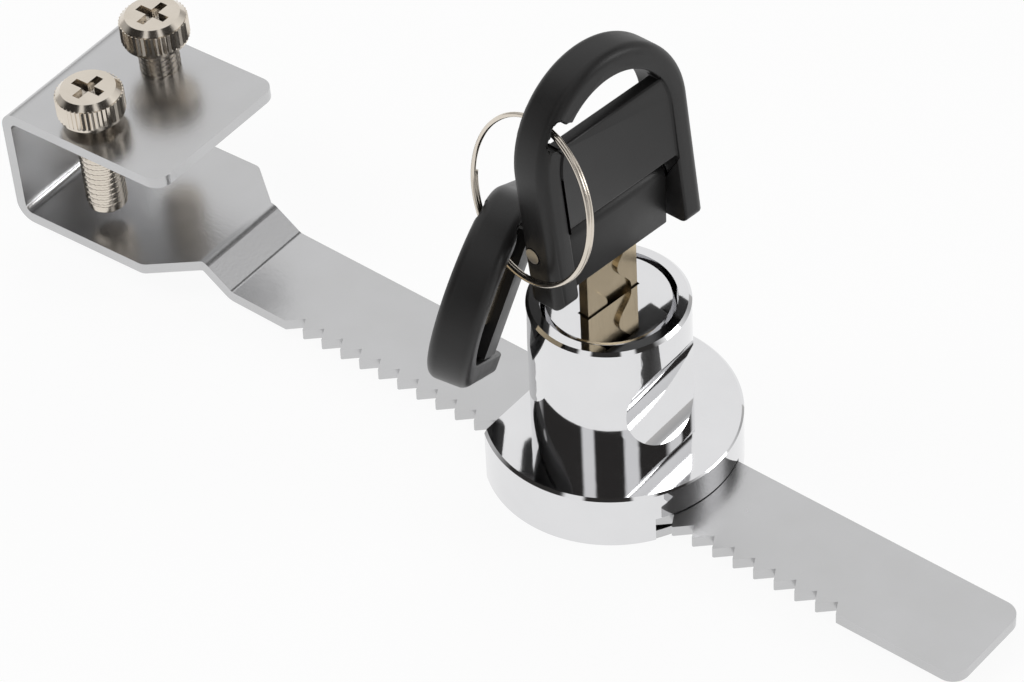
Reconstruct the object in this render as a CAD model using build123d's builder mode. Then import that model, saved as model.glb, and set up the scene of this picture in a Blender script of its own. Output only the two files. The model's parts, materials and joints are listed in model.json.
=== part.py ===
from build123d import *
from math import cos, radians, sin
import os

# A ratchet lock for sliding glass cabinet doors, with two folding keys on a split ring.
# Lengths are millimetres and angles degrees. The origin is where the lock's axis meets the flange's
# underside. The bar runs along X with its clamp at the -X end, and the key goes in from +Z.

# Rack bar, one strip of sheet metal
sheet = 1.5
bar_width = 13.4
bar_mid_y = -1.8
bar_tip_x = 56.5
bar_under_z = 1.8
tip_round = 2.2

# Ratchet teeth on the bar's near edge
tooth_pitch = 3.0
tooth_count = 28
tooth_depth = 1.75
tooth_gentle_run = 1.85
tooth_land = 0.2
tooth_start_x = -44.55

# Glass clamp, which leans as bent
clamp_lean = 4.0
clamp_width = 22.5
clamp_gap = 14.2
jog_foot_x = -53.4
jog_run = 4.25
jog_rise = 2.7
lower_plate_length = 26.3
upper_plate_length = 25.7
taper_start = 0.2
taper_run = 5.9
shoulder_round = 1.6
lip_round = 2.2
bend_inside = 1.0

# Clamp screws
screw_radius = 2.5
screw_length = 14.5
screw_point = 0.6
screw_spacing = 12.7
screw_from_lip = 15.0
screw_head_radius = 4.15
screw_head_height = 4.2
screw_head_chamfer = 0.65
screw_hole_clearance = 0.06
near_screw_lift = 1.0
far_screw_lift = 4.05
cross_length = 4.6
cross_width = 1.1
cross_depth = 1.5

# Lock housing, a die casting
flange_radius = 15.8
flange_height = 7.6
flange_flat_x = -9.8
flange_edge_chamfer = 0.35
crease_x = 10.5
crease_slope = 2.0
barrel_radius = 9.85
barrel_top_z = 25.7
barrel_rim_chamfer = 0.4
scoop_radius = 9.75
scoop_depth = 2.5
scoop_z = 15.0
bar_clearance = 0.3
bar_roof_clearance = 0.15
wafer_groove_depth = 1.2

# Base plate and its rivets
plate_thickness = 1.3
plate_clearance = 0.1
flange_wall = 1.7
rivet_radius = 0.9
rivet_head_radius = 1.6
rivet_head_depth = 0.7
rivet_head_taper = 45.0
rivet_length = 4.2
rivet_x = 6.3
rivet_far_y = 9.5
rivet_near_y = -10.7

# Plug and its retaining clip
plug_radius = 6.0
plug_clearance = 0.05
plug_head_radius = 8.1
plug_head_height = 2.5
plug_head_clearance = 0.15
plug_face_drop = 0.2
plug_bevel_run = 1.05
plug_bevel_fall = 0.55
plug_end_z = 5.5
keyway_turn = -6.9
keyway_clearance = 0.2
keyway_depth = 13.0
clip_outer_radius = 7.0
clip_inner_radius = 5.0
clip_thickness = 0.6
clip_clearance = 0.05
clip_mouth = 6.4
clip_room = 0.25

# Wafers and their springs
wafer_count = 5
wafer_thickness = 0.7
wafer_slack = 0.05
wafer_first_depth = 5.2
wafer_pitch = 1.4
wafer_width = 4.6
wafer_travel = 0.8
ear_length = 1.2
ear_width = 1.2
spring_length = 2.4
spring_bore = 0.26
spring_room = 0.08

# Pawl, driven by a pin under the plug
pawl_stroke = 1.9
drive_pin_radius = 1.1
drive_pin_z = 3.75
pawl_under_z = 3.7
pawl_thickness = 1.5
pawl_half_width = 4.6
pawl_slack = 0.15
pawl_leg_depth = 2.3
pawl_far_y = 3.0
pawl_tooth_index = 14
pawl_tooth_count = 2
pawl_tooth_gap = 0.37
pawl_pin_slack = 0.1
pawl_pin_lag = 0.4
leaf_thickness = 0.3
leaf_height = 2.0
leaf_half_span = 4.2
leaf_gap = 0.08

# Keys, alike apart from how they are folded
blade_width = 8.2
blade_thickness = 1.4
blade_length = 11.8
blade_tang = 5.6
blade_tip_chamfer = 1.6
block_width = 17.0
block_thickness = 3.2
block_under = 7.5
bow_half_width = 12.0
bow_thickness = 5.4
bow_edge_round = 1.3
bow_leg_end = -6.9
arch_centre = 10.8
web_thickness = 1.9
web_under = 3.4
web_over = 15.0
web_recess = 0.1
fold_clearance = 0.12
leg_clearance = 0.4
ring_hole_angle = 145.2
ring_hole_length = 3.6
ring_hole_width = 2.0
pivot_pin_radius = 1.0
pivot_clearance = 0.05
key_pivot_z = 40.4
key_lean = 7.0

# Split ring, hooked through the key's bow
ring_radius = 10.0
ring_wire_radius = 0.6
ring_wire_sides = 10
ring_hook_shift = -0.46
ring_hook_out = 1.11
ring_turn = 101.75
ring_tilt = 14.0

# Spare key, hanging from the ring by the slot beside its web
spare_hook_angle = -20.89
spare_hook_across = 5.17
spare_hook_up = 16.47
spare_hook_out = 0.2
spare_turn = 198.82
spare_lean = 12.02
spare_roll = 129.67

# Cuts run past what they cut by this much
overrun = 1.0

os.makedirs("parts", exist_ok=True)


# Places worked out from the sizes above
bar_top_z = bar_under_z + sheet
bar_mid_z = bar_under_z + sheet / 2
bar_near_y = bar_mid_y - bar_width / 2
bar_far_y = bar_mid_y + bar_width / 2
bend_middle = bend_inside + sheet / 2

plate_along = Vector(cos(radians(clamp_lean)), sin(radians(clamp_lean)))
wall_up = Vector(-sin(radians(clamp_lean)), cos(radians(clamp_lean)))
strip_tip = Vector(bar_tip_x, bar_mid_z)
strip_foot = Vector(jog_foot_x, bar_mid_z)
strip_shoulder = strip_foot + Vector(-jog_run, jog_rise)
strip_heel = strip_shoulder - plate_along * lower_plate_length
strip_crown = strip_heel + wall_up * (clamp_gap + sheet)
strip_lip = strip_crown + plate_along * upper_plate_length

# The clamp's upper face at the lip: x points from the wall to the lip, z stands out of the plate
upper_face = Plane(
    origin=(strip_lip.X + wall_up.X * sheet / 2, bar_mid_y, strip_lip.Y + wall_up.Y * sheet / 2),
    x_dir=(plate_along.X, 0, plate_along.Y),
    z_dir=(wall_up.X, 0, wall_up.Y),
)

plug_face_z = barrel_top_z - plug_face_drop
plug_shoulder_z = plug_face_z - plug_head_height
bore_radius = plug_radius + plug_clearance
pocket_radius = clip_outer_radius + plug_head_clearance
clip_under_z = plug_end_z + clip_thickness
pocket_roof_z = clip_under_z + clip_thickness + clip_room
bow_back = -(block_thickness / 2 + fold_clearance)
leg_inside = block_width / 2 + leg_clearance
ring_hole_radius = (leg_inside + bow_half_width) / 2
rivet_places = [
    (rivet_x, rivet_far_y),
    (-rivet_x, rivet_far_y),
    (rivet_x, rivet_near_y),
    (-rivet_x, rivet_near_y),
]
pawl_roof_z = pawl_under_z + pawl_thickness + pawl_slack
channel_near_y = -(flange_radius - flange_wall) + 2 * plate_clearance
pawl_tip_y = bar_near_y - pawl_tooth_gap
pawl_back_y = pawl_tip_y - pawl_leg_depth
keyway_along = (-sin(radians(keyway_turn)), cos(radians(keyway_turn)), 0)
keyway_length = blade_width + 2 * keyway_clearance
keyway_width = blade_thickness + 2 * keyway_clearance


def wafer_plane(height):
    """Level plane on the plug's axis, x along the keyway."""
    return Plane(origin=(0, 0, height), x_dir=keyway_along, z_dir=(0, 0, 1))


def wafer_under_z(index):
    """Underside of a wafer, counted from the key's side."""
    return plug_face_z - wafer_first_depth - index * wafer_pitch - wafer_thickness / 2


# Rack bar
with BuildPart() as rack_plan:
    with BuildSketch(Plane.XY) as lower_plan:
        plate_near_y = bar_mid_y - clamp_width / 2
        plate_far_y = bar_mid_y + clamp_width / 2
        neck_x = strip_shoulder.X - taper_start
        with BuildLine():
            Polyline(
                (bar_tip_x, bar_near_y),
                (neck_x, bar_near_y),
                (neck_x - taper_run, plate_near_y),
                (strip_crown.X - sheet - overrun, plate_near_y),
                (strip_crown.X - sheet - overrun, plate_far_y),
                (neck_x - taper_run, plate_far_y),
                (neck_x, bar_far_y),
                (bar_tip_x, bar_far_y),
                close=True,
            )
        make_face()
        fillet(lower_plan.vertices().group_by(Axis.X)[-1], tip_round)
        fillet(lower_plan.vertices().group_by(Axis.X)[1], shoulder_round)
    extrude(amount=strip_heel.Y + clamp_gap - sheet)
    with BuildSketch(upper_face.offset(overrun)) as upper_plan:
        with Locations((-(upper_plate_length + sheet + overrun) / 2, 0)):
            Rectangle(upper_plate_length + sheet + overrun, clamp_width)
        fillet(upper_plan.vertices().group_by(Axis.X)[-1], lip_round)
    extrude(amount=-(2 * sheet + 2 * overrun))

with BuildPart() as rack_bar:
    with BuildSketch(Plane.XZ.offset(-bar_mid_y)) as strip:
        with BuildLine() as strip_line:
            FilletPolyline(
                strip_tip, strip_foot, strip_shoulder, strip_heel, strip_crown, strip_lip, radius=bend_middle
            )
            offset(amount=sheet / 2, side=Side.BOTH)
        make_face()
    extrude(amount=clamp_width / 2, both=True)
    add(rack_plan.part, mode=Mode.INTERSECT)
    with BuildSketch(Plane.XY) as notches:
        with Locations([(tooth_start_x + i * tooth_pitch, bar_near_y) for i in range(tooth_count)]):
            Polygon(
                (0, 0),
                (tooth_gentle_run, tooth_depth),
                (tooth_pitch - tooth_land, 0),
                align=None,
            )
    extrude(amount=bar_top_z + overrun, mode=Mode.SUBTRACT)
    with BuildSketch(upper_face.offset(overrun)) as screw_holes:
        with Locations((-screw_from_lip, screw_spacing / 2), (-screw_from_lip, -screw_spacing / 2)):
            Circle(screw_radius + screw_hole_clearance)
    extrude(amount=-(sheet + 2 * overrun), mode=Mode.SUBTRACT)
rack_bar.part.label = "rack_bar"
export_step(rack_bar.part, "parts/rack_bar.step")


def make_clamp_screw(name, across, lift):
    """Knurled clamp screw, its head's underside lifted off the upper plate."""
    seat_point = upper_face.from_local_coords((-screw_from_lip, across, lift))
    seat = Plane(origin=seat_point, x_dir=upper_face.x_dir, z_dir=upper_face.z_dir)
    with BuildPart() as screw:
        with BuildSketch(seat):
            Circle(screw_head_radius)
        extrude(amount=screw_head_height)
        chamfer(screw.faces().sort_by(Axis(seat.origin, seat.z_dir))[-1].edges(), screw_head_chamfer)
        chamfer(
            screw.faces().sort_by(Axis(seat.origin, seat.z_dir))[0].edges(), screw_head_chamfer / 2
        )
        with BuildSketch(seat):
            Circle(screw_radius)
        extrude(amount=-screw_length)
        chamfer(screw.faces().sort_by(Axis(seat.origin, seat.z_dir))[0].edges(), screw_point)
        with BuildSketch(seat.offset(screw_head_height)):
            Rectangle(cross_length, cross_width)
            Rectangle(cross_width, cross_length)
        extrude(amount=-cross_depth, mode=Mode.SUBTRACT)
    screw.part.label = name
    export_step(screw.part, f"parts/{name}.step")
    return screw.part


make_clamp_screw("clamp_screw_near", -screw_spacing / 2, near_screw_lift)
make_clamp_screw("clamp_screw_far", screw_spacing / 2, far_screw_lift)


# Lock housing
with BuildPart() as lock_housing:
    with BuildSketch(Plane.XY):
        Circle(barrel_radius)
    extrude(amount=barrel_top_z)
    chamfer(lock_housing.edges().group_by(Axis.Z)[-1], barrel_rim_chamfer)
    with BuildSketch(Plane.XZ):
        scoop_centre_x = barrel_radius - scoop_depth + scoop_radius
        with Locations((scoop_centre_x, scoop_z), (-scoop_centre_x, scoop_z)):
            Circle(scoop_radius)
    extrude(amount=flange_radius, both=True, mode=Mode.SUBTRACT)
    with BuildSketch(Plane.XY):
        Circle(flange_radius)
    extrude(amount=flange_height)
    chamfer(
        lock_housing.edges().filter_by(GeomType.CIRCLE).filter_by_position(
            Axis.Z, flange_height, flange_height
        ).sort_by(SortBy.RADIUS)[-1],
        flange_edge_chamfer,
    )
    with BuildSketch(Plane.XZ):
        with BuildLine():
            crease_fall = (flange_radius + overrun - crease_x) * sin(radians(crease_slope))
            Polyline(
                (crease_x, flange_height),
                (flange_radius + overrun, flange_height - crease_fall),
                (flange_radius + overrun, flange_height + overrun),
                (crease_x, flange_height + overrun),
                close=True,
            )
        make_face()
    extrude(amount=flange_radius, both=True, mode=Mode.SUBTRACT)
    with BuildSketch(Plane.XY):
        with Locations((flange_flat_x, 0)):
            Rectangle(flange_radius, 2 * flange_radius, align=(Align.MAX, Align.CENTER))
    extrude(amount=flange_height, mode=Mode.SUBTRACT)
    with Locations((0, 0, barrel_top_z)):
        CounterBoreHole(
            radius=bore_radius,
            counter_bore_radius=plug_head_radius + plug_head_clearance,
            counter_bore_depth=barrel_top_z - plug_shoulder_z + plug_clearance,
        )
    with BuildSketch(Plane.XY):
        Circle(pocket_radius)
    extrude(amount=pocket_roof_z, mode=Mode.SUBTRACT)
    with BuildSketch(wafer_plane(pocket_roof_z)):
        Rectangle(2 * (bore_radius + wafer_groove_depth), wafer_width + 2 * wafer_slack)
    extrude(amount=wafer_under_z(-1) - pocket_roof_z, mode=Mode.SUBTRACT)
    with BuildSketch(Plane.XY):
        with Locations((0, channel_near_y)):
            Rectangle(
                2 * (pawl_half_width + pawl_slack),
                pawl_far_y + pawl_stroke + 2 * pawl_slack - channel_near_y,
                align=(Align.CENTER, Align.MIN),
            )
    extrude(amount=pawl_roof_z, mode=Mode.SUBTRACT)
    with BuildSketch(Plane.XY):
        with Locations((0, bar_mid_y)):
            Rectangle(2 * (flange_radius + overrun), bar_width + 2 * bar_clearance)
    extrude(amount=bar_top_z + bar_roof_clearance, mode=Mode.SUBTRACT)
    with BuildSketch(Plane.XY):
        Circle(flange_radius - flange_wall)
        with Locations((flange_flat_x + flange_wall, 0)):
            Rectangle(
                flange_radius, 2 * flange_radius, align=(Align.MAX, Align.CENTER), mode=Mode.SUBTRACT
            )
    extrude(amount=plate_thickness + plate_clearance, mode=Mode.SUBTRACT)
    with BuildSketch(Plane.XY):
        with Locations(rivet_places):
            Circle(rivet_radius)
    extrude(amount=rivet_length + plate_clearance, mode=Mode.SUBTRACT)
lock_housing.part.label = "lock_housing"
export_step(lock_housing.part, "parts/lock_housing.step")


# Base plate
with BuildPart() as base_plate:
    with BuildSketch(Plane.XY) as plate_plan:
        Circle(flange_radius - flange_wall - plate_clearance)
        with Locations((flange_flat_x + flange_wall + plate_clearance, 0)):
            Rectangle(
                flange_radius, 2 * flange_radius, align=(Align.MAX, Align.CENTER), mode=Mode.SUBTRACT
            )
        with BuildSketch(mode=Mode.PRIVATE) as tongue:
            with Locations((0, bar_mid_y)):
                Rectangle(2 * flange_radius, bar_width + 2 * (bar_clearance - plate_clearance))
            Circle(flange_radius - 2 * plate_clearance, mode=Mode.INTERSECT)
            with Locations((flange_flat_x + plate_clearance, 0)):
                Rectangle(
                    flange_radius, 2 * flange_radius, align=(Align.MAX, Align.CENTER), mode=Mode.SUBTRACT
                )
        add(tongue.sketch)
    extrude(amount=plate_thickness)
    with BuildSketch(Plane.XY):
        with Locations(rivet_places):
            Circle(rivet_radius)
    extrude(amount=plate_thickness, mode=Mode.SUBTRACT)
    with BuildSketch(Plane.XY):
        with Locations(rivet_places):
            Circle(rivet_head_radius)
    extrude(amount=rivet_head_depth, taper=rivet_head_taper, mode=Mode.SUBTRACT)
base_plate.part.label = "base_plate"
export_step(base_plate.part, "parts/base_plate.step")

# Base plate rivets
with BuildPart() as base_plate_rivets:
    with BuildSketch(Plane.XY):
        with Locations(rivet_places):
            Circle(rivet_radius)
    extrude(amount=rivet_length)
    with BuildSketch(Plane.XY):
        with Locations(rivet_places):
            Circle(rivet_head_radius)
    extrude(amount=rivet_head_depth, taper=rivet_head_taper)
base_plate_rivets.part.label = "base_plate_rivets"
export_step(base_plate_rivets.part, "parts/base_plate_rivets.step")


# Lock plug
with BuildPart() as lock_plug:
    with BuildSketch(Plane.XY.offset(plug_end_z)):
        Circle(plug_radius)
    extrude(amount=plug_face_z - plug_end_z)
    with BuildSketch(Plane.XY.offset(plug_shoulder_z)):
        Circle(plug_head_radius)
    extrude(amount=plug_head_height)
    chamfer(lock_plug.edges().group_by(Axis.Z)[-1], plug_bevel_run, plug_bevel_fall)
    with BuildSketch(Plane.XY.offset(clip_under_z - clip_clearance)):
        Circle(plug_radius + overrun)
        Circle(clip_inner_radius - clip_clearance, mode=Mode.SUBTRACT)
    extrude(amount=clip_thickness + 2 * clip_clearance, mode=Mode.SUBTRACT)
    with BuildSketch(wafer_plane(plug_face_z)):
        Rectangle(keyway_length, keyway_width)
    extrude(amount=-keyway_depth, mode=Mode.SUBTRACT)
    for i in range(wafer_count):
        slot_under_z = wafer_under_z(i) - wafer_slack
        with BuildSketch(wafer_plane(slot_under_z)):
            Rectangle(2 * (plug_radius + overrun), wafer_width + 2 * wafer_slack)
            with Locations((wafer_travel + ear_length / 2 + wafer_slack, 0)):
                Rectangle(
                    spring_length + ear_length + wafer_travel + 3 * wafer_slack,
                    wafer_width / 2 + ear_width + wafer_slack,
                    align=(Align.MAX, Align.MIN),
                )
        extrude(amount=wafer_thickness + 2 * wafer_slack, mode=Mode.SUBTRACT)
    with BuildSketch(Plane.XY.offset(plug_end_z)):
        with Locations((0, -pawl_stroke)):
            Circle(drive_pin_radius)
    extrude(amount=drive_pin_z - plug_end_z)
lock_plug.part.label = "lock_plug"
export_step(lock_plug.part, "parts/lock_plug.step")

# Plug retaining clip
with BuildPart() as plug_retaining_clip:
    with BuildSketch(Plane.XY.offset(clip_under_z)):
        Circle(clip_outer_radius)
        Circle(clip_inner_radius, mode=Mode.SUBTRACT)
        Rectangle(clip_mouth, 2 * clip_outer_radius, align=(Align.CENTER, Align.MIN), mode=Mode.SUBTRACT)
    extrude(amount=clip_thickness)
plug_retaining_clip.part.label = "plug_retaining_clip"
export_step(plug_retaining_clip.part, "parts/plug_retaining_clip.step")

# Wafers
for i in range(wafer_count):
    with BuildPart() as wafer:
        with BuildSketch(wafer_plane(wafer_under_z(i))):
            Rectangle(2 * plug_radius, wafer_width)
            Rectangle(ear_length, wafer_width / 2 + ear_width, align=(Align.CENTER, Align.MIN))
            Circle(plug_radius - wafer_slack, mode=Mode.INTERSECT)
            Rectangle(keyway_length + 2 * wafer_slack, keyway_width, mode=Mode.SUBTRACT)
        extrude(amount=wafer_thickness)
    wafer.part.label = f"wafer_{i + 1}"
    export_step(wafer.part, f"parts/wafer_{i + 1}.step")

# Wafer springs
with BuildPart() as wafer_springs:
    for i in range(wafer_count):
        spring_mid_z = wafer_under_z(i) + wafer_thickness / 2
        spring_seat = wafer_plane(spring_mid_z).from_local_coords(
            (-ear_length / 2 - spring_room, wafer_width / 2 + ear_width / 2, 0)
        )
        with BuildSketch(Plane(origin=spring_seat, z_dir=keyway_along)):
            Circle(wafer_thickness / 2)
            Circle(spring_bore, mode=Mode.SUBTRACT)
        extrude(amount=-(spring_length - spring_room))
wafer_springs.part.label = "wafer_springs"
export_step(wafer_springs.part, "parts/wafer_springs.step")


# Ratchet pawl
with BuildPart() as ratchet_pawl:
    with BuildSketch(Plane.XY.offset(pawl_under_z)):
        with Locations((0, pawl_back_y)):
            Rectangle(
                2 * pawl_half_width, pawl_far_y - pawl_back_y, align=(Align.CENTER, Align.MIN)
            )
        pin_slot_far = -pawl_stroke + drive_pin_radius + pawl_pin_slack
        pin_slot_right = drive_pin_radius + pawl_pin_slack
        with Locations((pin_slot_right, pin_slot_far)):
            Rectangle(
                pawl_stroke + 2 * pin_slot_right,
                2 * pin_slot_right + pawl_pin_lag,
                align=(Align.MAX, Align.MAX),
                mode=Mode.SUBTRACT,
            )
    extrude(amount=pawl_thickness)
    with BuildSketch(Plane.XY.offset(plate_thickness + pawl_slack)):
        with Locations((0, pawl_back_y)):
            Rectangle(
                2 * pawl_half_width,
                pawl_tip_y - tooth_depth - pawl_back_y + pawl_slack,
                align=(Align.CENTER, Align.MIN),
            )
        tooth_root_y = pawl_tip_y - tooth_depth + pawl_slack
        first_tooth_x = tooth_start_x + pawl_tooth_index * tooth_pitch
        with Locations([(first_tooth_x + i * tooth_pitch, tooth_root_y) for i in range(pawl_tooth_count)]):
            Polygon(
                (pawl_slack, 0),
                (tooth_gentle_run, tooth_depth - pawl_slack),
                (tooth_pitch - tooth_land - pawl_slack, 0),
                align=None,
            )
    extrude(amount=pawl_under_z - plate_thickness - pawl_slack)
ratchet_pawl.part.label = "ratchet_pawl"
export_step(ratchet_pawl.part, "parts/ratchet_pawl.step")

# Pawl spring, a bowed leaf between the flange's wall and the pawl's back
with BuildPart() as pawl_spring:
    with BuildSketch(Plane.XY.offset(plate_thickness + pawl_slack)):
        with BuildLine():
            leaf_crest_y = pawl_back_y - leaf_gap
            leaf_end_y = channel_near_y + leaf_thickness + leaf_gap
            ThreePointArc((-leaf_half_span, leaf_end_y), (0, leaf_crest_y), (leaf_half_span, leaf_end_y))
            offset(amount=leaf_thickness, side=Side.RIGHT)
        make_face()
    extrude(amount=leaf_height)
pawl_spring.part.label = "pawl_spring"
export_step(pawl_spring.part, "parts/pawl_spring.step")


def make_blade(at, name):
    """Key blade with its tang, x across it and the tip towards -y."""
    blade_tip = -(block_under + blade_length)
    with BuildPart() as blade:
        with BuildSketch(at) as outline:
            with Locations((0, blade_tip)):
                Rectangle(
                    blade_width, blade_length + blade_tang, align=(Align.CENTER, Align.MIN)
                )
            chamfer(outline.vertices().group_by(Axis.Z)[0], blade_tip_chamfer)
        extrude(amount=blade_thickness / 2, both=True)
    blade.part.label = name
    export_step(blade.part, f"parts/{name}.step")


def make_block(at, name):
    """Moulded block around the blade's tang, which turns on the pivot pin."""
    with BuildPart() as block:
        with BuildSketch(at):
            with Locations((0, -block_under)):
                Rectangle(block_width, block_under, align=(Align.CENTER, Align.MIN))
        extrude(amount=block_thickness / 2, both=True)
        with BuildSketch(Plane(origin=at.origin, x_dir=at.y_dir, z_dir=at.x_dir)):
            Circle(block_thickness / 2)
        extrude(amount=block_width / 2, both=True)
        with BuildSketch(at):
            with Locations((0, -block_under)):
                Rectangle(blade_width, blade_tang, align=(Align.CENTER, Align.MIN))
        extrude(amount=blade_thickness / 2, both=True, mode=Mode.SUBTRACT)
        with BuildSketch(Plane(origin=at.origin, x_dir=at.y_dir, z_dir=at.x_dir)):
            Circle(pivot_pin_radius)
        extrude(amount=block_width, both=True, mode=Mode.SUBTRACT)
    block.part.label = name
    export_step(block.part, f"parts/{name}.step")


def is_outer_rim(middle):
    """Whether an edge of the bow's face, known by its middle, lies on the bow's outside."""
    return abs(middle.X) > leg_inside + leg_clearance or middle.Y > arch_centre + ring_hole_radius


def make_bow(at, name):
    """Moulded bow: a rounded arch on two legs, with a web in front and an open pocket behind."""
    with BuildPart() as bow:
        with BuildSketch(at.offset(bow_back)):
            with Locations((0, arch_centre)):
                Circle(bow_half_width)
            with Locations((0, bow_leg_end)):
                Rectangle(
                    2 * bow_half_width, arch_centre - bow_leg_end, align=(Align.CENTER, Align.MIN)
                )
            with Locations((0, arch_centre)):
                Circle(leg_inside, mode=Mode.SUBTRACT)
            with Locations((0, bow_leg_end)):
                Rectangle(
                    2 * leg_inside,
                    arch_centre - bow_leg_end,
                    align=(Align.CENTER, Align.MIN),
                    mode=Mode.SUBTRACT,
                )
        extrude(amount=bow_thickness)
        out = Axis(at.origin, at.z_dir)
        rims = bow.faces().sort_by(out)[-1].edges() + bow.faces().sort_by(out)[0].edges()
        outer_rims = rims.filter_by(lambda rim: is_outer_rim(at.to_local_coords(rim @ 0.5)))
        fillet(outer_rims, bow_edge_round)
        with BuildSketch(at.offset(bow_back)):
            with Locations((0, arch_centre)):
                for notch_radius in (leg_inside, ring_hole_radius):
                    with PolarLocations(notch_radius, 1, start_angle=ring_hole_angle):
                        SlotOverall(ring_hole_length, ring_hole_width, rotation=90)
        extrude(amount=bow_thickness, mode=Mode.SUBTRACT)
        with BuildSketch(at.offset(bow_back + bow_thickness - web_recess)):
            with Locations((0, web_under)):
                Rectangle(
                    2 * leg_inside + 2 * web_recess, web_over - web_under, align=(Align.CENTER, Align.MIN)
                )
        extrude(amount=-web_thickness)
        with BuildSketch(Plane(origin=at.origin, x_dir=at.y_dir, z_dir=at.x_dir)):
            Circle(pivot_pin_radius + pivot_clearance)
        extrude(amount=bow_half_width + overrun, both=True, mode=Mode.SUBTRACT)
    bow.part.label = name
    export_step(bow.part, f"parts/{name}.step")


def make_pivot_pin(at, name):
    """Pin through the bow's legs and the block."""
    with BuildPart() as pin:
        with BuildSketch(Plane(origin=at.origin, x_dir=at.y_dir, z_dir=at.x_dir)):
            Circle(pivot_pin_radius)
        extrude(amount=bow_half_width, both=True)
    pin.part.label = name
    export_step(pin.part, f"parts/{name}.step")


def key_plane(pivot, across, up):
    """Plane of a key: x across it, y from the pivot towards the arch, z out of the web's face."""
    return Plane(origin=pivot, x_dir=across, z_dir=across.cross(up))


# Key in the plug, its bow leaning back from the blade
key_across = Vector(*keyway_along)
key_out = key_across.cross(Vector(0, 0, 1))
key_pivot = Vector(0, 0, key_pivot_z)
bow_up = Vector(0, 0, 1) * cos(radians(key_lean)) - key_out * sin(radians(key_lean))
upright = key_plane(key_pivot, key_across, Vector(0, 0, 1))
leaning = key_plane(key_pivot, key_across, bow_up)
make_blade(upright, "key_blade")
make_block(upright, "key_block")
make_bow(leaning, "key_bow")
make_pivot_pin(leaning, "key_pivot_pin")

# Split ring, through the hole in the bow's shoulder
ring_hook = leaning.from_local_coords(
    (
        ring_hole_radius * cos(radians(ring_hole_angle)) - ring_hook_shift * sin(radians(ring_hole_angle)),
        arch_centre
        + ring_hole_radius * sin(radians(ring_hole_angle))
        + ring_hook_shift * cos(radians(ring_hole_angle)),
        ring_hook_out,
    )
)
ring_normal = Vector(
    cos(radians(ring_turn)) * cos(radians(ring_tilt)),
    -sin(radians(ring_turn)) * cos(radians(ring_tilt)),
    sin(radians(ring_tilt)),
)
ring_down = key_out.cross(ring_normal).normalized()
ring_centre = ring_hook + ring_down * ring_radius
with BuildPart() as key_ring:
    with BuildSketch(Plane(origin=ring_centre, x_dir=ring_down, z_dir=ring_down.cross(ring_normal))):
        with Locations((ring_radius, 0)):
            RegularPolygon(ring_wire_radius, ring_wire_sides)
    revolve(axis=Axis(ring_centre, ring_normal))
key_ring.part.label = "key_ring"
export_step(key_ring.part, "parts/key_ring.step")

# Spare key, upside down on the ring with its blade folded into the bow
spare_out = Vector(cos(radians(spare_turn)), sin(radians(spare_turn)), 0)
level_across = Vector(spare_out.Y, -spare_out.X, 0)
hanging_up = spare_out * sin(radians(spare_lean)) - Vector(0, 0, 1) * cos(radians(spare_lean))
spare_across = level_across * cos(radians(spare_roll)) + hanging_up * sin(radians(spare_roll))
spare_up = hanging_up * cos(radians(spare_roll)) - level_across * sin(radians(spare_roll))
spare_hook = ring_centre + ring_down.rotate(Axis((0, 0, 0), ring_normal), spare_hook_angle) * ring_radius
hook_plane = key_plane(spare_hook, spare_across, spare_up)
spare_pivot = hook_plane.from_local_coords((spare_hook_across, -spare_hook_up, spare_hook_out))
spare_bow_plane = key_plane(spare_pivot, spare_across, spare_up)
spare_block_plane = Plane(origin=spare_pivot, x_dir=spare_across, z_dir=spare_bow_plane.z_dir * -1)
make_blade(spare_block_plane, "spare_key_blade")
make_block(spare_block_plane, "spare_key_block")
make_bow(spare_bow_plane, "spare_key_bow")
make_pivot_pin(spare_bow_plane, "spare_key_pivot_pin")
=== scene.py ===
"""Ratchet lock for sliding glass doors, dressed for its studio picture.

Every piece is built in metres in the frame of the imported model. The lock's axis is Z, the toothed bar
runs along X, and the key stands in the plug.
"""
from __future__ import annotations

import json
import logging
import math
from collections.abc import Iterable
from dataclasses import dataclass, field
from enum import Enum

import bmesh
import bpy
from mathutils import Matrix, Vector

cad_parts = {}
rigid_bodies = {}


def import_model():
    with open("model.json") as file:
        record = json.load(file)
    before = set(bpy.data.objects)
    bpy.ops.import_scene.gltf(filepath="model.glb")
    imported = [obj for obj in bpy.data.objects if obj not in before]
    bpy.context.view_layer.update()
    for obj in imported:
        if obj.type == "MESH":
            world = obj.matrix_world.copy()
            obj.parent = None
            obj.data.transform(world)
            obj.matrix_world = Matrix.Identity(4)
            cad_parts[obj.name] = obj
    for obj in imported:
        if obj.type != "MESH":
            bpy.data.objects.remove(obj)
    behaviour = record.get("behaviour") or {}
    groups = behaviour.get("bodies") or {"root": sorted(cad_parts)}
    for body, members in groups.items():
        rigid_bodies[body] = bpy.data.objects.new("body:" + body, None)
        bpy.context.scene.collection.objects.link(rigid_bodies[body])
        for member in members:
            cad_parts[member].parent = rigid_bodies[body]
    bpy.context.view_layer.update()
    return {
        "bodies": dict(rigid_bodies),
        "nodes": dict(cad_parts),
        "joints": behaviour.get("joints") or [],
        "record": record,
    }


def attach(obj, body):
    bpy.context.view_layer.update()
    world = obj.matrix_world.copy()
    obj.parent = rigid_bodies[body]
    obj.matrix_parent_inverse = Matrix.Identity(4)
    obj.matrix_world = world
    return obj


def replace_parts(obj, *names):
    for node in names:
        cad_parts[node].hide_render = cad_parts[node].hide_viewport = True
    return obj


log = logging.getLogger("cabinet_lock")

Triple = tuple[float, float, float]
Steps = tuple[tuple[float, float], ...]

MM = 0.001
FULL_TURN = 360.0
BLACK: Triple = (0.0, 0.0, 0.0)
# Points nearer to each other than this are merged
WELD = MM / 1000
# Points within this height of a level lie on it
LEVEL = MM / 100


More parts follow.
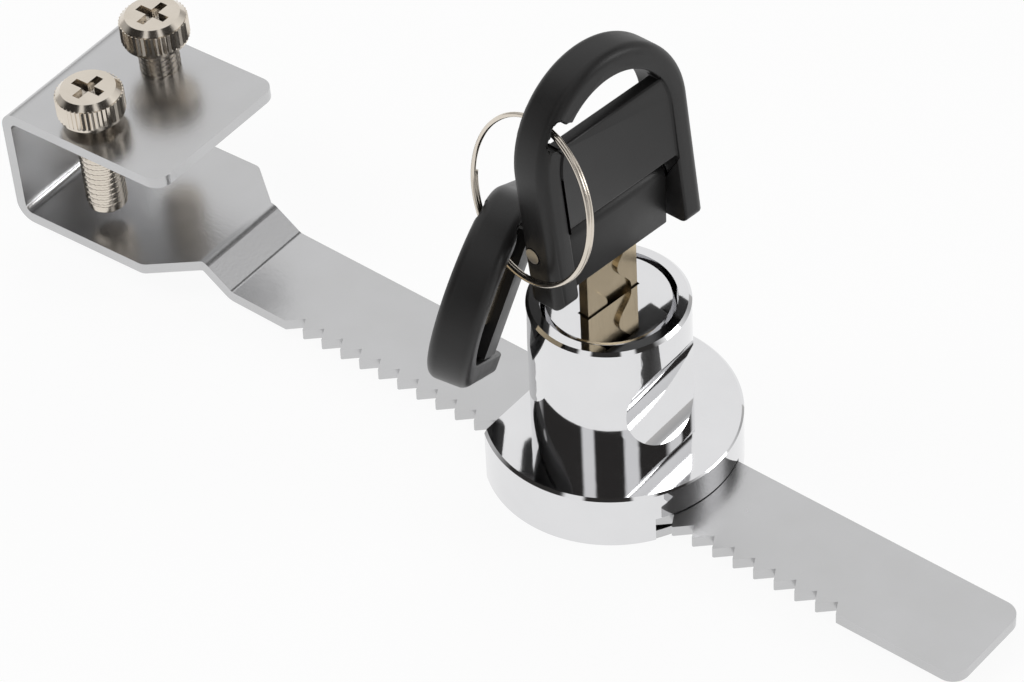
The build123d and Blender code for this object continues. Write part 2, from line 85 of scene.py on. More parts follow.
class Finish(Enum):
    """The material slots of the record that the pieces take."""

    ZINC = "zinc_plate"
    CHROME = "bright_chrome"
    NICKEL = "nickel_plate"
    NICKEL_SILVER = "nickel_silver"
    STEEL = "steel"
    BRASS = "wafer_brass"
    PLASTIC = "black_plastic"


def opaque(colour: Triple) -> tuple[float, float, float, float]:
    """A colour with full alpha."""
    return (*colour, 1.0)


def set_inputs(node: bpy.types.Node, values: dict[str, object]) -> None:
    """Gives a node's inputs their values.

    Args:
        node: the node.
        values: input name to value.
    """
    for name, value in values.items():
        node.inputs[name].default_value = value


class Tree:
    """Short ways to add and join nodes in one node tree."""

    def __init__(self, tree: bpy.types.NodeTree) -> None:
        """Keeps the tree."""
        self.tree = tree

    def node(self, kind: str, values: dict[str, object] | None = None, **settings: object) -> bpy.types.Node:
        """Adds a node.

        Args:
            kind: the node's Blender type.
            values: input name to value.
            settings: attributes to set on the node.

        Returns:
            The new node.
        """
        made = self.tree.nodes.new(kind)
        for name, value in settings.items():
            setattr(made, name, value)
        set_inputs(made, values or {})
        return made

    def link(self, out: bpy.types.NodeSocket, into: bpy.types.NodeSocket) -> None:
        """Joins an output to an input."""
        self.tree.links.new(out, into)

    def sockets(self, inputs: dict[str, tuple[str, object]], outputs: dict[str, str]) -> None:
        """Gives a group its named sockets.

        Args:
            inputs: name to socket type and default value.
            outputs: name to socket type.
        """
        for name, (kind, value) in inputs.items():
            made = self.tree.interface.new_socket(name=name, in_out="INPUT", socket_type=kind)
            made.default_value = value
        for name, kind in outputs.items():
            self.tree.interface.new_socket(name=name, in_out="OUTPUT", socket_type=kind)

    def combine(self, operation: str, *values: bpy.types.NodeSocket) -> bpy.types.NodeSocket:
        """Adds a maths node.

        Args:
            operation: what it does.
            values: the outputs that it takes, in order.

        Returns:
            Its result.
        """
        made = self.node("ShaderNodeMath", operation=operation)
        for value, into in zip(values, made.inputs):
            self.link(value, into)
        return made.outputs[0]

    def noise(
        self, where: bpy.types.NodeSocket, scale: bpy.types.NodeSocket, detail: float
    ) -> bpy.types.NodeSocket:
        """Adds a noise pattern.

        Args:
            where: the places it is read at.
            scale: the output that gives its scale.
            detail: how many finer layers it has.

        Returns:
            Its strength from place to place.
        """
        made = self.node("ShaderNodeTexNoise", {"Detail": detail})
        self.link(where, made.inputs["Vector"])
        self.link(scale, made.inputs["Scale"])
        return made.outputs["Fac"]

    def mix(self, share: bpy.types.NodeSocket) -> bpy.types.Node:
        """Adds a mix of two colours, A and B, by a share of B."""
        made = self.node("ShaderNodeMix", data_type="RGBA")
        self.link(share, made.inputs["Factor"])
        return made

    def ramp(
        self, value: bpy.types.NodeSocket, low: Triple, high: Triple, steps: Iterable[tuple[float, float]]
    ) -> bpy.types.NodeSocket:
        """Adds a colour ramp with greys between its ends.

        Args:
            value: the output that it follows, from 0 to 1.
            low: the colour at 0.
            high: the colour at 1.
            steps: place and grey of each stop between them.

        Returns:
            Its colour.
        """
        made = self.node("ShaderNodeValToRGB")
        stops = made.color_ramp.elements
        stops[0].color = opaque(low)
        stops[1].color = opaque(high)
        for place, grey in steps:
            stop = stops.new(place)
            stop.color = opaque((grey, grey, grey))
        self.link(value, made.inputs["Fac"])
        return made.outputs["Color"]

    def part_along(self, where: bpy.types.NodeSocket, along: Triple) -> bpy.types.NodeSocket:
        """Adds the part of a direction that points along another.

        Args:
            where: the output that gives the direction.
            along: the other direction.

        Returns:
            The part, from -1 to 1.
        """
        part = self.node("ShaderNodeVectorMath", operation="DOT_PRODUCT")
        part.inputs[1].default_value = along
        self.link(where, part.inputs[0])
        return part.outputs["Value"]


def new_group(
    name: str, inputs: dict[str, tuple[str, object]], outputs: dict[str, str]
) -> tuple[Tree, bpy.types.Node, bpy.types.Node]:
    """Starts a shader node group.

    Args:
        name: the group's name.
        inputs: name to socket type and default value.
        outputs: name to socket type.

    Returns:
        The tree helper, the group's input node and its output node.
    """
    tree = Tree(bpy.data.node_groups.new(name, "ShaderNodeTree"))
    tree.sockets(inputs, outputs)
    return tree, tree.node("NodeGroupInput"), tree.node("NodeGroupOutput")


@dataclass
class SurfaceGroups:
    """Node groups that several finishes share."""

    patch_detail: float = 4.0
    grain_detail: float = 3.0
    patches: bpy.types.NodeTree = field(init=False)
    grain: bpy.types.NodeTree = field(init=False)

    def __post_init__(self) -> None:
        """Builds each group once."""
        self.patches = self.make_patches()
        self.grain = self.make_grain()

    def make_patches(self) -> bpy.types.NodeTree:
        """Soft patches that change the gloss and the shade a little.

        Returns:
            The group.
        """
        tree, inside, outside = new_group(
            "SoftPatches",
            {
                "Scale": ("NodeSocketFloat", 120.0),
                "Base Roughness": ("NodeSocketFloat", 0.2),
                "Roughness Spread": ("NodeSocketFloat", 0.05),
                "Colour": ("NodeSocketColor", (0.8, 0.8, 0.8, 1.0)),
                "Dark Colour": ("NodeSocketColor", (0.7, 0.7, 0.7, 1.0)),
            },
            {"Colour": "NodeSocketColor", "Roughness": "NodeSocketFloat"},
        )
        where = tree.node("ShaderNodeTexCoord").outputs["Object"]
        strength = tree.noise(where, inside.outputs["Scale"], self.patch_detail)
        roughness = tree.combine(
            "MULTIPLY_ADD", strength, inside.outputs["Roughness Spread"], inside.outputs["Base Roughness"]
        )
        tree.link(roughness, outside.inputs["Roughness"])
        mix = tree.mix(strength)
        tree.link(inside.outputs["Dark Colour"], mix.inputs["A"])
        tree.link(inside.outputs["Colour"], mix.inputs["B"])
        tree.link(mix.outputs["Result"], outside.inputs["Colour"])
        return tree.tree

    def make_grain(self) -> bpy.types.NodeTree:
        """Fine grain as a height for a Bump node, drawn out along one direction.

        Returns:
            The group.
        """
        tree, inside, outside = new_group(
            "FineGrain",
            {
                "Scale": ("NodeSocketFloat", 900.0),
                "Stretch": ("NodeSocketVector", (1.0, 1.0, 1.0)),
            },
            {"Height": "NodeSocketFloat"},
        )
        stretch = tree.node("ShaderNodeVectorMath", operation="MULTIPLY")
        tree.link(tree.node("ShaderNodeTexCoord").outputs["Object"], stretch.inputs[0])
        tree.link(inside.outputs["Stretch"], stretch.inputs[1])
        height = tree.noise(stretch.outputs[0], inside.outputs["Scale"], self.grain_detail)
        tree.link(height, outside.inputs["Height"])
        return tree.tree


@dataclass(frozen=True)
class Coat:
    """One finish: its colours, gloss and grain."""

    finish: Finish
    colour: Triple
    dark: Triple
    roughness: float
    spread: float
    patch_scale: float
    grain_scale: float
    grain_strength: float
    grain_stretch: Triple = (1.0, 1.0, 1.0)
    grain_depth: float = 0.02 * MM
    metallic: float = 1.0
    ior: float = 1.5

    def material(self, groups: SurfaceGroups) -> bpy.types.Material:
        """Builds the finish's material.

        Args:
            groups: the shared node groups.

        Returns:
            The new material.
        """
        made = bpy.data.materials.new(self.finish.value)
        made.use_nodes = True
        tree = Tree(made.node_tree)
        shader = made.node_tree.nodes["Principled BSDF"]
        set_inputs(shader, {"Metallic": self.metallic, "IOR": self.ior})
        patches = tree.node(
            "ShaderNodeGroup",
            {
                "Scale": self.patch_scale,
                "Base Roughness": self.roughness,
                "Roughness Spread": self.spread,
                "Colour": opaque(self.colour),
                "Dark Colour": opaque(self.dark),
            },
            node_tree=groups.patches,
        )
        tree.link(patches.outputs["Colour"], shader.inputs["Base Color"])
        tree.link(patches.outputs["Roughness"], shader.inputs["Roughness"])
        grain = tree.node(
            "ShaderNodeGroup",
            {"Scale": self.grain_scale, "Stretch": self.grain_stretch},
            node_tree=groups.grain,
        )
        bump = tree.node("ShaderNodeBump", {"Strength": self.grain_strength, "Distance": self.grain_depth})
        tree.link(grain.outputs["Height"], bump.inputs["Height"])
        tree.link(bump.outputs["Normal"], shader.inputs["Normal"])
        return made


COATS: tuple[Coat, ...] = (
    Coat(
        Finish.ZINC,
        colour=(0.6, 0.6, 0.61),
        dark=(0.52, 0.52, 0.52),
        roughness=0.2,
        spread=0.1,
        patch_scale=150.0,
        grain_scale=2600.0,
        grain_strength=0.5,
    ),
    Coat(
        Finish.CHROME,
        colour=(0.78, 0.78, 0.79),
        dark=(0.72, 0.72, 0.73),
        roughness=0.04,
        spread=0.03,
        patch_scale=160.0,
        grain_scale=900.0,
        grain_strength=0.1,
    ),
    Coat(
        Finish.NICKEL,
        colour=(0.76, 0.7, 0.62),
        dark=(0.62, 0.56, 0.48),
        roughness=0.12,
        spread=0.08,
        patch_scale=300.0,
        grain_scale=1500.0,
        grain_strength=0.2,
    ),
    Coat(
        Finish.NICKEL_SILVER,
        colour=(0.64, 0.54, 0.38),
        dark=(0.48, 0.39, 0.26),
        roughness=0.2,
        spread=0.1,
        patch_scale=250.0,
        grain_scale=3000.0,
        grain_strength=0.5,
        grain_stretch=(1.0, 1.0, 0.1),
    ),
    Coat(
        Finish.STEEL,
        colour=(0.66, 0.66, 0.66),
        dark=(0.5, 0.5, 0.5),
        roughness=0.26,
        spread=0.1,
        patch_scale=250.0,
        grain_scale=2500.0,
        grain_strength=0.4,
    ),
    Coat(
        Finish.BRASS,
        colour=(0.76, 0.62, 0.34),
        dark=(0.62, 0.48, 0.24),
        roughness=0.25,
        spread=0.1,
        patch_scale=250.0,
        grain_scale=2500.0,
        grain_strength=0.4,
    ),
    Coat(
        Finish.PLASTIC,
        colour=(0.016, 0.015, 0.015),
        dark=(0.01, 0.01, 0.01),
        roughness=0.34,
        spread=0.14,
        patch_scale=300.0,
        grain_scale=4200.0,
        grain_strength=0.6,
        metallic=0.0,
        ior=1.42,
    ),
)


@dataclass
class Workshop:
    """Makes objects from meshes and hands out the finishes."""

    frame: dict
    materials: dict[Finish, bpy.types.Material] = field(default_factory=dict)

    def mix_finishes(self) -> None:
        """Builds every finish once."""
        groups = SurfaceGroups()
        for coat in COATS:
            self.materials[coat.finish] = coat.material(groups)

    def dress_frame(self) -> None:
        """Gives each CAD node the finish of its slot."""
        for subpart in self.frame["record"]["subparts"]:
            node = self.frame["nodes"][subpart["node"]]
            finish = Finish(subpart["material_slot"])
            node.data.materials.clear()
            node.data.materials.append(self.materials[finish])
            log.info("dressed %s in %s", subpart["node"], finish.value)

    def points(self, node: str) -> list[Vector]:
        """Places of a CAD node's vertices."""
        return [vert.co.copy() for vert in self.frame["nodes"][node].data.vertices]

    def piece(
        self, name: str, mesh: bmesh.types.BMesh, finish: Finish, body: str, smooth: bool = True
    ) -> bpy.types.Object:
        """Turns a finished bmesh into a piece that rides on a body.

        Args:
            name: the piece's name.
            mesh: its shape, in the row frame.
            finish: its finish.
            body: the CAD body that carries it.
            smooth: whether its faces are shaded smooth.

        Returns:
            The new object.
        """
        bmesh.ops.remove_doubles(mesh, verts=mesh.verts, dist=WELD)
        bmesh.ops.recalc_face_normals(mesh, faces=mesh.faces)
        data = bpy.data.meshes.new(name)
        mesh.to_mesh(data)
        mesh.free()
        for polygon in data.polygons:
            polygon.use_smooth = smooth
        made = bpy.data.objects.new(name, data)
        bpy.context.scene.collection.objects.link(made)
        made.data.materials.append(self.materials[finish])
        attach(made, body)
        log.info("made %s on %s", name, body)
        return made


def axes(origin: Vector, x_dir: Vector, z_dir: Vector) -> Matrix:
    """Matrix of a local frame.

    Args:
        origin: the frame's origin.
        x_dir: its x direction.
        z_dir: its z direction.

    Returns:
        The 4 by 4 matrix from the local frame to the row frame.
    """
    z = z_dir.normalized()
    x = (x_dir - z * x_dir.dot(z)).normalized()
    y = z.cross(x)
    return Matrix.Translation(origin) @ Matrix((x, y, z)).transposed().to_4x4()


def rim_edges(rim: list[bmesh.types.BMVert]) -> list[bmesh.types.BMEdge]:
    """Edges that join the points of one rim, each once.

    Args:
        rim: the rim's points.

    Returns:
        The edges, always in the same order.
    """
    joined = (edge for vert in rim for edge in vert.link_edges if all(end in rim for end in edge.verts))
    return list(dict.fromkeys(joined))


def sweep_circle(path: list[Vector], radius: float, sides: int, up: Vector) -> bmesh.types.BMesh:
    """Round wire along a path, with closed ends.

    Args:
        path: the centre line.
        radius: the wire's radius.
        sides: sides of its section.
        up: a direction that the path never runs along.

    Returns:
        The wire's bmesh.
    """
    mesh = bmesh.new()
    rims = []
    for i, point in enumerate(path):
        along = path[min(i + 1, len(path) - 1)] - path[max(i - 1, 0)]
        local = axes(point, up, along)
        rims.append(bmesh.ops.create_circle(mesh, segments=sides, radius=radius, matrix=local)["verts"])
    for before, after in zip(rims, rims[1:]):
        bmesh.ops.bridge_loops(mesh, edges=rim_edges(before) + rim_edges(after))
    for rim in (rims[0], rims[-1]):
        mesh.faces.new(rim)
    return mesh


@dataclass(frozen=True)
class ClampScrew:
    """A clamp screw's rolled knurl and its thread."""

    node: str
    body: str
    lean: float = math.radians(4.0)
    head_radius: float = 4.15 * MM
    head_height: float = 4.2 * MM
    knurl_depth: float = 0.22 * MM
    knurl_count: int = 44
    knurl_margin: float = 0.75 * MM
    shank_radius: float = 2.5 * MM
    shank_length: float = 14.5 * MM
    thread_pitch: float = 0.8 * MM
    thread_depth: float = 0.32 * MM
    thread_steps: int = 24
    point: float = 0.6 * MM

    def build(self, shop: Workshop) -> None:
        """Makes the knurled band and the thread.

        Args:
            shop: where the pieces are made.
        """
        local = self.local(shop)
        for name, mesh, smooth in (("knurl", self.knurl(), False), ("thread", self.thread(), True)):
            bmesh.ops.transform(mesh, matrix=local, verts=mesh.verts)
            shop.piece(f"{self.node}_{name}", mesh, Finish.NICKEL, self.body, smooth=smooth)

    def local(self, shop: Workshop) -> Matrix:
        """Frame of the screw: origin under its head, z towards the head.

        Args:
            shop: gives the CAD screw.

        Returns:
            The matrix from the screw's frame to the row frame.
        """
        points = shop.points(self.node)
        up = Vector((-math.sin(self.lean), 0.0, math.cos(self.lean)))
        side = Vector((0.0, 1.0, 0.0))
        ahead = side.cross(up)
        origin = up * (max(p.dot(up) for p in points) - self.head_height)
        for direction in (side, ahead):
            reach = [p.dot(direction) for p in points]
            origin += direction * (min(reach) + max(reach)) / 2
        return axes(origin, side, up)

    def knurl(self) -> bmesh.types.BMesh:
        """Band of straight ridges round the head.

        Returns:
            The band's bmesh.
        """
        mesh = bmesh.new()
        self.add_wall(mesh, self.head_radius, self.knurl_depth)
        self.add_wall(mesh, self.head_radius - self.knurl_depth, 0.0)
        for level in self.knurl_levels():
            open_edges = (e for e in mesh.edges if e.is_boundary)
            rims = [e for e in open_edges if all(abs(v.co.z - level) < LEVEL for v in e.verts)]
            bmesh.ops.bridge_loops(mesh, edges=rims)
        return mesh

    def knurl_levels(self) -> tuple[float, float]:
        """Heights of the knurl's lower and upper end."""
        return self.knurl_margin, self.head_height - self.knurl_margin

    def add_wall(self, mesh: bmesh.types.BMesh, radius: float, ridge: float) -> None:
        """Adds an upright wall of the knurl.

        Args:
            mesh: the knurl's bmesh.
            radius: the wall's radius in its grooves.
            ridge: how far its ridges stand out.
        """
        low, high = self.knurl_levels()
        rim = bmesh.ops.create_circle(
            mesh, segments=2 * self.knurl_count, radius=radius, matrix=Matrix.Translation((0, 0, low))
        )["verts"]
        for vert in rim[1::2]:
            vert.co.xy = vert.co.xy * (1 + ridge / radius)
        raised = bmesh.ops.extrude_edge_only(mesh, edges=rim_edges(rim))["geom"]
        for vert in (made for made in raised if isinstance(made, bmesh.types.BMVert)):
            vert.co.z = high

    def thread(self) -> bmesh.types.BMesh:
        """Rolled thread as a sharp rib wound round the shank.

        Returns:
            The rib's bmesh.
        """
        mesh = bmesh.new()
        turns = (self.shank_length - self.point - self.thread_pitch) / self.thread_pitch
        root = self.shank_radius - self.thread_depth / 3
        crest = self.shank_radius + self.thread_depth / 2
        half = self.thread_pitch / 2
        corners = [mesh.verts.new((r, 0, z)) for r, z in ((root, -half), (crest, 0), (root, half))]
        profile = [mesh.edges.new((a, b)) for a, b in zip(corners, corners[1:] + corners[:1])]
        bmesh.ops.translate(mesh, verts=mesh.verts, vec=(0, 0, -half))
        bmesh.ops.spin(
            mesh,
            geom=corners + profile,
            axis=(0, 0, 1),
            cent=(0, 0, 0),
            dvec=(0, 0, -self.thread_pitch / self.thread_steps),
            angle=2 * math.pi * turns,
            steps=int(self.thread_steps * turns),
            use_merge=False,
        )
        bmesh.ops.holes_fill(mesh, edges=[e for e in mesh.edges if e.is_boundary], sides=len(corners))
        return mesh


@dataclass(frozen=True)
class SplitRing:
    """The double coil of the key ring, in place of the plain ring."""

    node: str = "key_ring"
    body: str = "ring"
    wire: float = 0.31 * MM
    turns: float = 1.75
    zero_side: Triple = (-1.0, 0.0, 0.4)
    first_end: float = math.radians(30.0)
    steps: int = 96
    sides: int = 12

    def build(self, shop: Workshop) -> None:
        """Winds the coil in the plane of the CAD ring.

        Args:
            shop: where the piece is made.
        """
        points = shop.points(self.node)
        centre = sum(points, Vector()) / len(points)
        normal = self.normal(points, centre)
        reach = max((p - centre).length for p in points)
        thick = max(abs((p - centre).dot(normal)) for p in points)
        path = self.path(axes(centre, Vector(self.zero_side), normal), reach - thick)
        wire = sweep_circle(path, self.wire, self.sides, normal)
        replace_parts(shop.piece("split_ring_coil", wire, Finish.NICKEL, self.body), self.node)

    def normal(self, points: list[Vector], centre: Vector) -> Vector:
        """Normal of the ring's plane, on the side of -Y.

        Args:
            points: the CAD ring's points.
            centre: their middle.

        Returns:
            The unit normal.
        """
        across = max(points, key=lambda p: (p - centre).length) - centre
        beside = max(points, key=lambda p: across.cross(p - centre).length) - centre
        normal = across.cross(beside).normalized()
        if normal.y > 0:
            normal.negate()
        return normal

    def path(self, local: Matrix, radius: float) -> list[Vector]:
        """Centre line of the coil, which climbs by one wire from end to end.

        Args:
            local: the matrix from the ring's plane to the row frame.
            radius: the coil's radius.

        Returns:
            The line's points.
        """
        count = int(self.steps * self.turns)
        line = []
        for i in range(count + 1):
            share = i / count
            angle = self.first_end + 2 * math.pi * self.turns * share
            rise = (share - 0.5) * 2 * self.wire
            line.append(local @ Vector((radius * math.cos(angle), radius * math.sin(angle), rise)))
        return line


@dataclass(frozen=True)
class MilledBlade:
    """The key's blade with its wave-shaped milled track, in place of the plain blade."""

    node: str = "key_blade"
    body: str = "key"
    turn: float = math.radians(-6.9)
    thickness: float = 1.4 * MM
    track_half_width: float = 2.0 * MM
    track_depth: float = 0.45 * MM
    track_sway: float = 1.1 * MM
    track_end: float = 1.0 * MM
    wave_length: float = 8.0 * MM
    overrun: float = 1.0 * MM
    steps: int = 60

    def build(self, shop: Workshop) -> None:
        """Mills the track into a copy of the CAD blade on both faces.

        Args:
            shop: where the piece is made.
        """
        heights = [p.z for p in shop.points(self.node)]
        across = Vector((-math.sin(self.turn), math.cos(self.turn), 0.0))
        local = axes(Vector(), across, across.cross(Vector((0.0, 0.0, 1.0))))
        cut = self.cutter(min(heights) - self.overrun, max(heights) - self.track_end)
        bmesh.ops.transform(cut, matrix=local, verts=cut.verts)
        cutter = bpy.data.objects.new("track_cutter", bpy.data.meshes.new("track_cutter"))
        cut.to_mesh(cutter.data)
        cut.free()
        blank = bpy.data.objects.new("blade_blank", shop.frame["nodes"][self.node].data.copy())
        for helper in (cutter, blank):
            bpy.context.scene.collection.objects.link(helper)
        milling = blank.modifiers.new("milling", "BOOLEAN")
        milling.object = cutter
        milling.solver = "EXACT"
        mesh = bmesh.new()
        mesh.from_mesh(blank.evaluated_get(bpy.context.evaluated_depsgraph_get()).data)
        for helper in (cutter, blank):
            data = helper.data
            bpy.data.objects.remove(helper)
            bpy.data.meshes.remove(data)
        made = shop.piece("milled_blade", mesh, Finish.NICKEL_SILVER, self.body, smooth=False)
        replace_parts(made, self.node)

    def cutter(self, low: float, high: float) -> bmesh.types.BMesh:
        """Two wave-shaped bars that cut the track, one for each face.

        Args:
            low: the height of their lower end.
            high: the height of their upper end.

        Returns:
            Their bmesh, with x across the blade, y up and z out of its faces.
        """
        mesh = bmesh.new()
        inner, outer = self.thickness / 2 - self.track_depth, self.thickness / 2 + self.overrun
        size = Vector((2 * self.track_half_width, high - low, outer - inner))
        for side in (-1, 1):
            middle = Vector((0.0, (low + high) / 2, side * (inner + outer) / 2))
            bmesh.ops.create_cube(mesh, size=1.0, matrix=Matrix.LocRotScale(middle, None, size))
        upright = [e for e in mesh.edges if abs(e.verts[0].co.y - e.verts[1].co.y) > size.y / 2]
        bmesh.ops.subdivide_edges(mesh, edges=upright, cuts=self.steps - 1, use_grid_fill=True)
        for vert in mesh.verts:
            vert.co.x += self.track_sway * math.sin(2 * math.pi * vert.co.y / self.wave_length)
        bmesh.ops.recalc_face_normals(mesh, faces=mesh.faces)
        return mesh


@dataclass(frozen=True)
class MouldedPiece:
    """A plastic piece with its sharp edges rounded, in place of the CAD solid."""

    node: str
    body: str
    edge_radius: float = 0.3 * MM
    segments: int = 3
    flat: float = math.radians(1.0)
    sharp: float = math.radians(40.0)

    def build(self, shop: Workshop) -> None:
        """Rounds a copy of the CAD mesh.

        Args:
            shop: where the piece is made.
        """
        mesh = bmesh.new()
        mesh.from_mesh(shop.frame["nodes"][self.node].data)
        bmesh.ops.remove_doubles(mesh, verts=mesh.verts, dist=WELD)
        bmesh.ops.dissolve_limit(mesh, angle_limit=self.flat, verts=mesh.verts, edges=mesh.edges)
        edges = [e for e in mesh.edges if len(e.link_faces) == 2 and e.calc_face_angle(0.0) > self.sharp]
        bmesh.ops.bevel(
            mesh,
            geom=edges,
            offset=self.edge_radius,
            offset_type="OFFSET",
            segments=self.segments,
            profile=0.5,
            affect="EDGES",
            clamp_overlap=False,
            material=-1,
            harden_normals=False,
        )
        made = shop.piece(f"moulded_{self.node}", mesh, Finish.PLASTIC, self.body)
        made.data.set_sharp_from_angle(angle=self.sharp)
        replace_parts(made, self.node)


@dataclass(frozen=True)
class StudioCamera:
    """The camera at the photograph's angle.

    The turn is the rotation vector from the row frame to the camera's right, down and ahead.
    """

    name: str = "studio_camera"
    place: Triple = (303.53 * MM, -374.73 * MM, 482.37 * MM)
    turn: Triple = (2.24152095, 0.75968287, -0.37231069)
    lens: float = 198.3
    sensor: float = 36.0
    clip_start: float = 0.05
    clip_end: float = 20.0

    def build(self) -> None:
        """Sets up the camera."""
        turn = Vector(self.turn)
        to_camera = Matrix.Rotation(turn.length, 3, turn.normalized())
        right, down, ahead = (Vector(to_camera[i]) for i in range(3))
        data = bpy.data.cameras.new(self.name)
        data.lens = self.lens
        data.sensor_width = self.sensor
        data.clip_start = self.clip_start
        data.clip_end = self.clip_end
        made = bpy.data.objects.new(self.name, data)
        rotation = Matrix((right, -down, -ahead)).transposed().to_4x4()
        made.matrix_world = Matrix.Translation(self.place) @ rotation
        bpy.context.scene.collection.objects.link(made)
        bpy.context.scene.camera = made

    def level(self) -> Vector:
        """Level direction from the lock to the camera."""
        return Vector(self.place).xy.normalized()


@dataclass(frozen=True)
class DarkPanel:
    """A dark panel of the room, for bright metal to mirror.

    A step is a place and how dark the panel is there, from 0 to 1. Sides are in degrees round the lock,
    anticlockwise from the camera's side as seen from above, and heights are the upward part of a direction.
    """

    sides: Steps
    heights: Steps

    def darkness(
        self, tree: Tree, azimuth: bpy.types.NodeSocket, height: bpy.types.NodeSocket
    ) -> bpy.types.NodeSocket:
        """Adds the panel's darkness in each direction.

        Args:
            tree: the world's tree.
            azimuth: the direction's share of a full turn, with the camera's side at a half.
            height: its upward part.

        Returns:
            The darkness, from 0 to 1.
        """
        shares = [(0.5 + side / FULL_TURN, dark) for side, dark in self.sides]
        around = tree.ramp(azimuth, BLACK, BLACK, shares)
        upward = tree.ramp(height, BLACK, BLACK, self.heights)
        return tree.combine("MULTIPLY", around, upward)


@dataclass(frozen=True)
class Room:
    """The pale room round the lock, with dark panels for the metal to show."""

    low_colour: Triple = (0.55, 0.54, 0.53)
    high_colour: Triple = (0.95, 0.95, 0.95)
    shades: Steps = ((0.16, 0.45), (0.4, 0.88), (0.7, 0.97))
    panel_colour: Triple = (0.035, 0.033, 0.032)
    panels: tuple[DarkPanel, ...] = (
        DarkPanel(
            sides=(
                (-130.0, 0.0), (-112.0, 1.0), (-47.0, 1.0), (-43.0, 0.0),
                (-29.0, 0.0), (-26.0, 1.0), (13.0, 1.0), (16.0, 0.0),
                (33.0, 0.0), (37.0, 1.0), (60.0, 1.0), (76.0, 0.0),
            ),
            heights=((0.2, 0.0), (0.42, 1.0), (0.86, 1.0), (0.95, 0.3)),
        ),
        DarkPanel(
            sides=((45.0, 0.0), (56.0, 1.0), (78.0, 1.0), (88.0, 0.0)),
            heights=((0.56, 0.0), (0.62, 1.0), (0.86, 1.0), (0.94, 0.2)),
        ),
        DarkPanel(
            sides=((110.0, 0.0), (116.0, 1.0), (140.0, 1.0), (152.0, 0.0)),
            heights=((0.5, 0.0), (0.56, 1.0), (0.86, 1.0), (0.94, 0.2)),
        ),
        DarkPanel(
            sides=((76.0, 0.0), (84.0, 1.0), (112.0, 1.0), (120.0, 0.0)),
            heights=((0.8, 0.0), (0.84, 1.0), (0.9, 1.0), (0.96, 0.2)),
        ),
    )

    def build(self, level: Vector) -> None:
        """Makes the world.

        Args:
            level: the level direction from the lock to the camera.
        """
        world = bpy.data.worlds.new("studio_world")
        bpy.context.scene.world = world
        world.use_nodes = True
        tree = Tree(world.node_tree)
        where = tree.node("ShaderNodeTexCoord").outputs["Generated"]
        split = tree.node("ShaderNodeSeparateXYZ")
        tree.link(where, split.inputs[0])
        height = split.outputs["Z"]
        azimuth = self.azimuth(tree, where, level)
        darkest, *others = [panel.darkness(tree, azimuth, height) for panel in self.panels]
        for dark in others:
            darkest = tree.combine("MAXIMUM", darkest, dark)
        mix = tree.mix(darkest)
        mix.inputs["B"].default_value = opaque(self.panel_colour)
        tree.link(tree.ramp(height, self.low_colour, self.high_colour, self.shades), mix.inputs["A"])
        tree.link(mix.outputs["Result"], world.node_tree.nodes["Background"].inputs["Color"])

    def azimuth(self, tree: Tree, where: bpy.types.NodeSocket, level: Vector) -> bpy.types.NodeSocket:
        """Adds a direction's azimuth as a share of a full turn.

        Args:
            tree: the world's tree.
            where: the direction.
            level: the level direction from the lock to the camera, which gets a half.

        Returns:
            The share, from 0 to 1.
        """
        ahead = tree.part_along(where, (level.x, level.y, 0.0))
        beside = tree.part_along(where, (-level.y, level.x, 0.0))
        share = tree.node("ShaderNodeMapRange", {"From Min": -math.pi, "From Max": math.pi})
        tree.link(tree.combine("ARCTAN2", beside, ahead), share.inputs["Value"])
        return share.outputs["Result"]


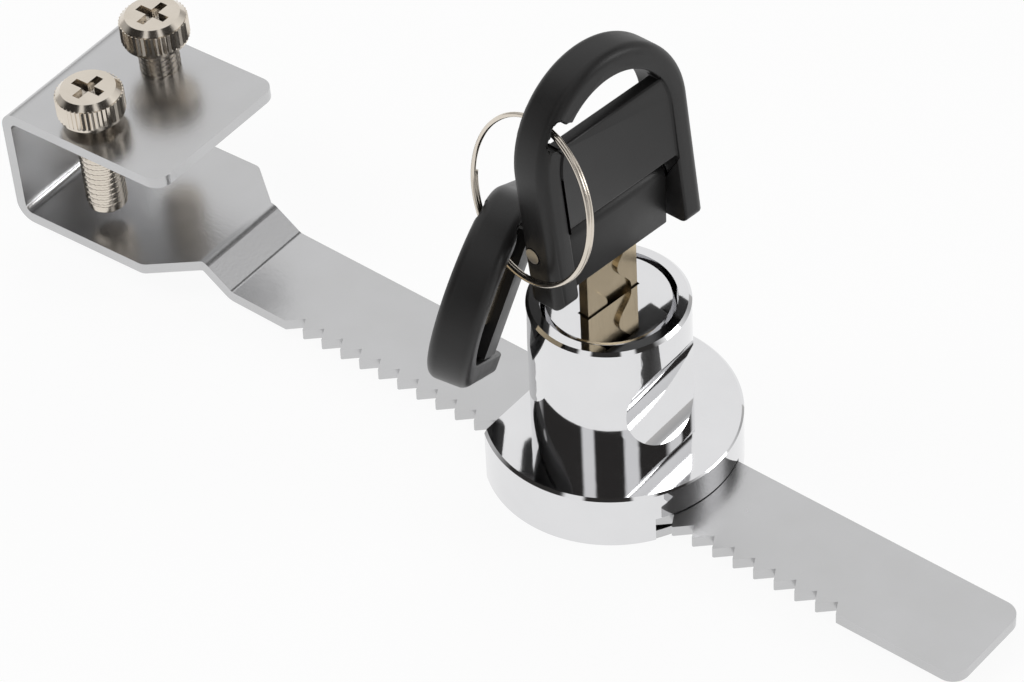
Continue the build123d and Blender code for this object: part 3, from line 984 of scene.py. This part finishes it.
@dataclass(frozen=True)
class Floor:
    """White paper under the lock, bright to the camera and to the metal."""

    half: float = 1.6
    colour: Triple = (0.9, 0.9, 0.9)
    roughness: float = 0.9
    glow_share: float = 0.92

    def build(self) -> None:
        """Lays the paper."""
        mesh = bmesh.new()
        bmesh.ops.create_grid(mesh, x_segments=1, y_segments=1, size=self.half)
        data = bpy.data.meshes.new("floor")
        mesh.to_mesh(data)
        mesh.free()
        made = bpy.data.objects.new("floor", data)
        bpy.context.scene.collection.objects.link(made)
        made.data.materials.append(self.paper())

    def paper(self) -> bpy.types.Material:
        """Paper that takes shadows and glows a share of white to the camera and to the metal.

        Returns:
            The new material.
        """
        made = bpy.data.materials.new("floor_paper")
        made.use_nodes = True
        tree = Tree(made.node_tree)
        shader = made.node_tree.nodes["Principled BSDF"]
        set_inputs(shader, {"Base Color": opaque(self.colour), "Roughness": self.roughness})
        rays = tree.node("ShaderNodeLightPath").outputs
        share = tree.node("ShaderNodeMath", operation="MULTIPLY")
        share.inputs[1].default_value = self.glow_share
        tree.link(tree.combine("MAXIMUM", rays["Is Camera Ray"], rays["Is Glossy Ray"]), share.inputs[0])
        mix = tree.node("ShaderNodeMixShader")
        tree.link(share.outputs[0], mix.inputs["Fac"])
        tree.link(shader.outputs[0], mix.inputs[1])
        tree.link(tree.node("ShaderNodeEmission").outputs[0], mix.inputs[2])
        tree.link(mix.outputs[0], made.node_tree.nodes["Material Output"].inputs["Surface"])
        return made


@dataclass(frozen=True)
class SoftBox:
    """A square lamp that faces the lock."""

    name: str
    place: Triple
    size: float
    power: float
    mirrored: bool = False

    def build(self) -> None:
        """Hangs the lamp."""
        data = bpy.data.lights.new(self.name, "AREA")
        data.size = self.size
        data.energy = self.power
        made = bpy.data.objects.new(self.name, data)
        made.location = self.place
        made.visible_glossy = self.mirrored
        made.rotation_euler = (-Vector(self.place)).to_track_quat("-Z", "Y").to_euler()
        bpy.context.scene.collection.objects.link(made)


@dataclass(frozen=True)
class Studio:
    """Camera, room, floor and lamps."""

    camera: StudioCamera = StudioCamera()
    room: Room = Room()
    floor: Floor = Floor()
    lamps: tuple[SoftBox, ...] = (
        SoftBox("key_light", (-0.5, -0.45, 0.75), size=0.5, power=3.0),
        SoftBox("side_light", (0.9, 0.7, 0.5), size=0.4, power=2.6, mirrored=True),
        SoftBox("back_light", (-0.6, 0.8, 0.2), size=0.4, power=1.0),
    )

    def build(self) -> None:
        """Sets up the whole studio."""
        self.camera.build()
        self.room.build(self.camera.level())
        self.floor.build()
        for lamp in self.lamps:
            lamp.build()
        bpy.context.scene.view_settings.view_transform = "Standard"


def main(frame: dict) -> None:
    """Dresses the frame, builds the pieces and sets up the studio.
    """
    shop = Workshop(frame)
    shop.mix_finishes()
    shop.dress_frame()
    ClampScrew("clamp_screw_near", "screw_near").build(shop)
    ClampScrew("clamp_screw_far", "screw_far").build(shop)
    SplitRing().build(shop)
    MilledBlade().build(shop)
    for node, body in (("key_block", "key"), ("key_bow", "bow"), ("spare_key_bow", "spare")):
        MouldedPiece(node, body).build(shop)
    Studio().build()


if __name__ == "__main__":
    logging.basicConfig(level=logging.INFO, format="%(message)s")
    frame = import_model()
    main(frame)
